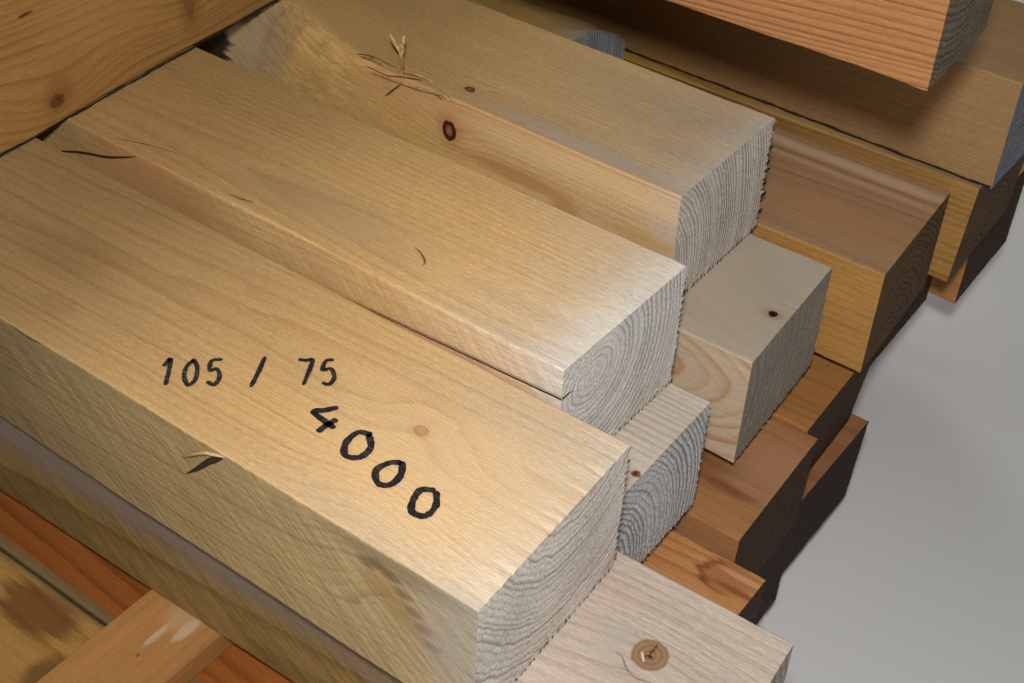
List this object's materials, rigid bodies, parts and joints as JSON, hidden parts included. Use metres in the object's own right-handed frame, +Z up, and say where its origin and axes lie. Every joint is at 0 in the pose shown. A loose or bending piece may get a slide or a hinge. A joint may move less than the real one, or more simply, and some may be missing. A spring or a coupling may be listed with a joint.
{
  "type": "stack of lumber",
  "caption": "Stack of long sawn timbers with staggered square ends, in rows on ground bearers, with thin battens between rows and a last timber on edge over cross bearers.",
  "frame": {"origin": "middle of the stack's foot: the centre of its box in the plan, at ground level", "axes": "+X along the timbers towards their staggered shown ends, +Y across the stack away from its near side, +Z up"},
  "size_m": [4.3404, 1.002, 0.575],
  "materials": {
    "fresh_timber": "rough sawn",
    "red_timber": "rough sawn",
    "aged_timber": "rough sawn, aged",
    "fresh_batten": "sawn",
    "cross_bearer": "rough sawn",
    "ground_bearer": "rough sawn, weathered"
  },
  "bodies": {
    "root": {"batten_1": "fresh_batten", "batten_2": "fresh_batten", "batten_3": "fresh_batten", "batten_4": "fresh_batten", "bottom_row_timber_1": "aged_timber", "bottom_row_timber_2": "aged_timber", "bottom_row_timber_3": "aged_timber", "bottom_row_timber_4": "aged_timber", "bottom_row_timber_5": "aged_timber", "bottom_row_timber_6": "aged_timber", "bottom_row_timber_7": "aged_timber", "cross_bearer_1": "cross_bearer", "cross_bearer_2": "cross_bearer", "cross_bearer_3": "cross_bearer", "ground_bearer_1": "ground_bearer", "ground_bearer_2": "ground_bearer", "ground_bearer_3": "ground_bearer", "ground_bearer_4": "ground_bearer", "second_row_timber_1": "fresh_timber", "second_row_timber_2": "fresh_timber", "second_row_timber_3": "fresh_timber", "second_row_timber_4": "fresh_timber", "second_row_timber_5": "fresh_timber", "third_row_timber_1": "aged_timber", "third_row_timber_2": "aged_timber", "third_row_timber_3": "aged_timber", "third_row_timber_4": "aged_timber", "third_row_timber_5": "aged_timber", "third_row_timber_6": "aged_timber", "third_row_timber_7": "aged_timber", "top_timber": "red_timber", "upper_row_timber_1": "fresh_timber", "upper_row_timber_2": "fresh_timber", "upper_row_timber_3": "fresh_timber", "upper_row_timber_4": "fresh_timber", "upper_row_timber_5": "fresh_timber"}
  },
  "joints": []
}
